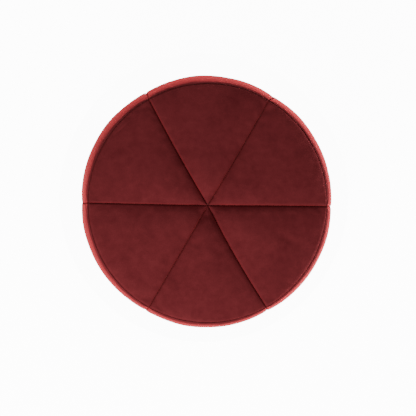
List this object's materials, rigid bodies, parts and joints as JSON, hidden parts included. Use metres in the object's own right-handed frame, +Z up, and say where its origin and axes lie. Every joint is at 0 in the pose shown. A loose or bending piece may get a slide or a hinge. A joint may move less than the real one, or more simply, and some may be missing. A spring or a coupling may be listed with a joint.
{
  "type": "pouf",
  "caption": "Round stuffed velvet pouf: sewn top wedges meeting at a dimple, a full curved wall, and a zipped base.",
  "frame": {"origin": "middle of the underside, on the surface that the pouf stands on", "axes": "+Z up along the pouf's axis; +X along the zip, towards its closed end, and in line with one of the top seams"},
  "size_m": [0.4956, 0.4992, 0.3505],
  "materials": {
    "velvet": "matt",
    "base_cloth": "matt",
    "sewing_thread": "satin",
    "zip_tape": "matt",
    "zip_coil": "satin",
    "zip_metal": "satin",
    "calico": "matt",
    "wadding": "matt",
    "foam": "matt",
    "tie_cord": "matt",
    "washer": "satin"
  },
  "bodies": {
    "pouf": {"top_wedge_1": "velvet", "side_panel_1": "velvet", "side_thread_1": "sewing_thread", "top_wedge_2": "velvet", "side_panel_2": "velvet", "side_thread_2": "sewing_thread", "top_wedge_3": "velvet", "side_panel_3": "velvet", "side_thread_3": "sewing_thread", "top_wedge_4": "velvet", "side_panel_4": "velvet", "side_thread_4": "sewing_thread", "top_wedge_5": "velvet", "side_panel_5": "velvet", "side_thread_5": "sewing_thread", "top_wedge_6": "velvet", "side_panel_6": "velvet", "side_thread_6": "sewing_thread", "base_half_back": "base_cloth", "zip_tape_back": "zip_tape", "zip_coil_back": "zip_coil", "zip_top_stop_back": "zip_metal", "zip_stitching_back": "sewing_thread", "base_half_front": "base_cloth", "zip_tape_front": "zip_tape", "zip_coil_front": "zip_coil", "zip_top_stop_front": "zip_metal", "zip_stitching_front": "sewing_thread", "zip_bottom_stop": "zip_metal", "top_thread_across": "sewing_thread", "top_thread_60": "sewing_thread", "top_thread_120": "sewing_thread", "top_thread_240": "sewing_thread", "top_thread_300": "sewing_thread", "top_rim_thread": "sewing_thread", "base_rim_thread": "sewing_thread", "liner_top": "calico", "wadding_top": "wadding", "liner_side": "calico", "wadding_side": "wadding", "liner_base": "calico", "wadding_base": "wadding", "foam_core": "foam", "centre_tie_cord": "tie_cord", "tie_washer": "washer"},
    "zip_slider": {"zip_slider": "zip_metal"},
    "zip_pull": {"zip_pull": "zip_metal"}
  },
  "joints": [
    {"name": "zip_slide", "type": "slide", "parent": "pouf", "child": "zip_slider", "axis": [-1, 0, 0], "range_m": [0, 0.28]},
    {"name": "pull_hinge", "type": "hinge", "parent": "zip_slider", "child": "zip_pull", "pos_m": [0.15, 0, 0.0037], "axis": [0, -1, 0], "range_deg": [-6, 172]}
  ]
}
